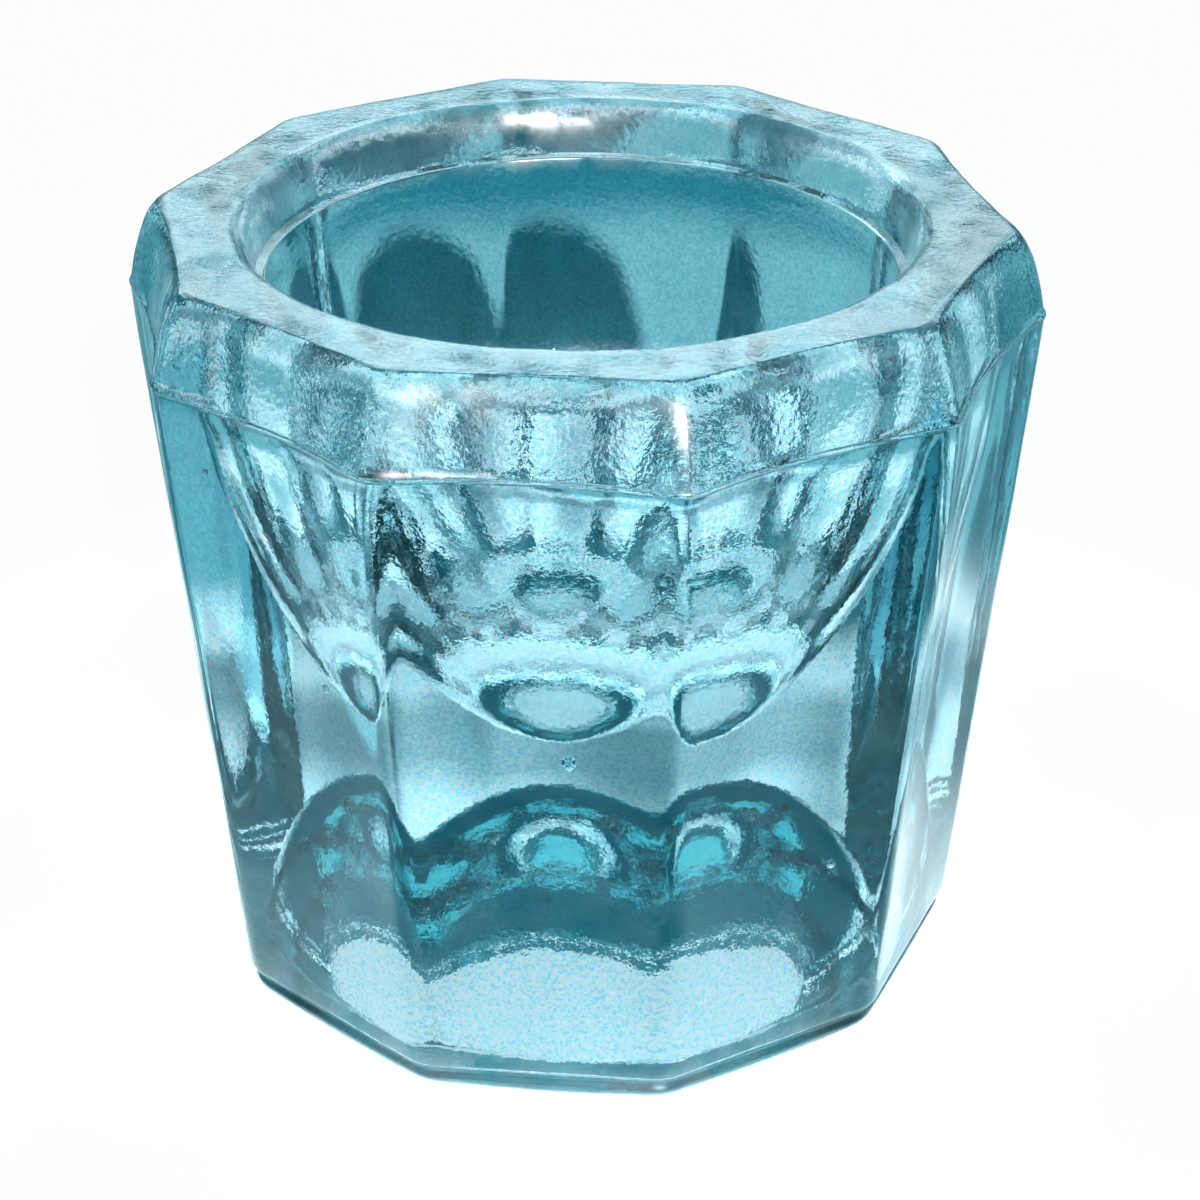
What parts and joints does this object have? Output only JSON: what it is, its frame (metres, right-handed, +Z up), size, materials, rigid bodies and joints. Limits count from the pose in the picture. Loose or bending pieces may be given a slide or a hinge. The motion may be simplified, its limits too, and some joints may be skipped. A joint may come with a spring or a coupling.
{
  "type": "dappen dish",
  "caption": "Small pressed-glass dish with flat sides that taper to the base, a rounded rim, a deep round well in the top and a domed recess underneath.",
  "frame": {"origin": "centre of the dish on the plane that its foot stands on", "axes": "+Z up along the axis of the well, -Y through the middle of one flat side panel, +X through a corner between two panels"},
  "size_m": [0.038, 0.0362, 0.0328],
  "materials": {
    "glass": "clear pressed glass with a teal tint, fire-polished and slightly wavy"
  },
  "bodies": {
    "root": {"glass_dish": "glass"}
  },
  "joints": []
}
